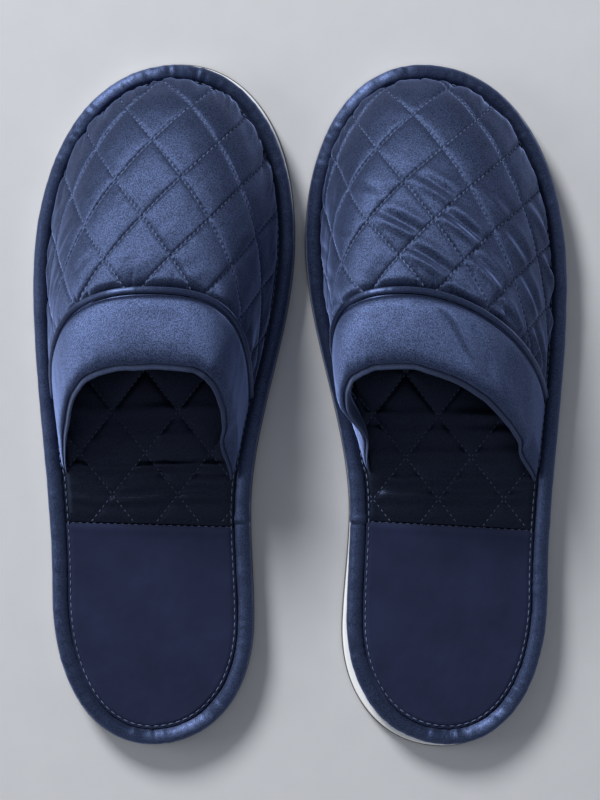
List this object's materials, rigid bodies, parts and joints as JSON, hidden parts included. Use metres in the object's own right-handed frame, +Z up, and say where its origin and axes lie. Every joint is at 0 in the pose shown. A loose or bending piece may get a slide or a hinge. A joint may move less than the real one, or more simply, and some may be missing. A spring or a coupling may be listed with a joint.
{
  "type": "spa slippers",
  "caption": "Pair of closed-toe, open-back spa slippers with a quilted padded satin upper, plain collar, piping, padded welt and thin flat foam sole.",
  "frame": {"origin": "on the floor, midway between the two slippers, at the middle of their length", "axes": "+Z up, +Y towards the toes, +X towards the wearer's right, so the left slipper is at -X"},
  "size_m": [0.224, 0.285, 0.0761],
  "materials": {
    "grip_rubber": "fine matte grip layer with shallow cross grooves",
    "eva_foam": "matte closed-cell foam",
    "insole_board": "matte pressed fibre board",
    "footbed_foam": "matte open-cell foam",
    "wadding": "matte polyester wadding",
    "sock_satin": "quilted satin, soft sheen",
    "heel_fabric": "smooth matte fabric",
    "satin": "satin, soft anisotropic sheen",
    "lining_satin": "dark satin lining",
    "piping_cord": "twisted cotton cord",
    "thread": "polyester sewing thread"
  },
  "bodies": {
    "left_slipper": {"left_grip_sole": "grip_rubber", "left_foam_sole": "eva_foam", "left_insole_board": "insole_board", "left_footbed_foam": "footbed_foam", "left_footbed_wadding": "wadding", "left_quilted_sock": "sock_satin", "left_heel_pad": "heel_fabric", "left_welt_cover": "satin", "left_welt_core": "wadding", "left_vamp_cover": "satin", "left_vamp_wadding": "wadding", "left_vamp_lining": "lining_satin", "left_collar_cover": "satin", "left_collar_wadding": "wadding", "left_piping_cover": "satin", "left_piping_cord": "piping_cord", "left_vamp_quilt_thread": "thread", "left_sock_quilt_thread": "thread", "left_cross_seam_thread": "thread", "left_welt_thread": "thread", "left_piping_thread": "thread"},
    "right_slipper": {"right_grip_sole": "grip_rubber", "right_foam_sole": "eva_foam", "right_insole_board": "insole_board", "right_footbed_foam": "footbed_foam", "right_footbed_wadding": "wadding", "right_quilted_sock": "sock_satin", "right_heel_pad": "heel_fabric", "right_welt_cover": "satin", "right_welt_core": "wadding", "right_vamp_cover": "satin", "right_vamp_wadding": "wadding", "right_vamp_lining": "lining_satin", "right_collar_cover": "satin", "right_collar_wadding": "wadding", "right_piping_cover": "satin", "right_piping_cord": "piping_cord", "right_vamp_quilt_thread": "thread", "right_sock_quilt_thread": "thread", "right_cross_seam_thread": "thread", "right_welt_thread": "thread", "right_piping_thread": "thread"}
  },
  "joints": [
    {"name": "right_slipper_lift", "type": "slide", "parent": "left_slipper", "child": "right_slipper", "axis": [0, 0, 1], "range_m": [0, 0.2]}
  ]
}
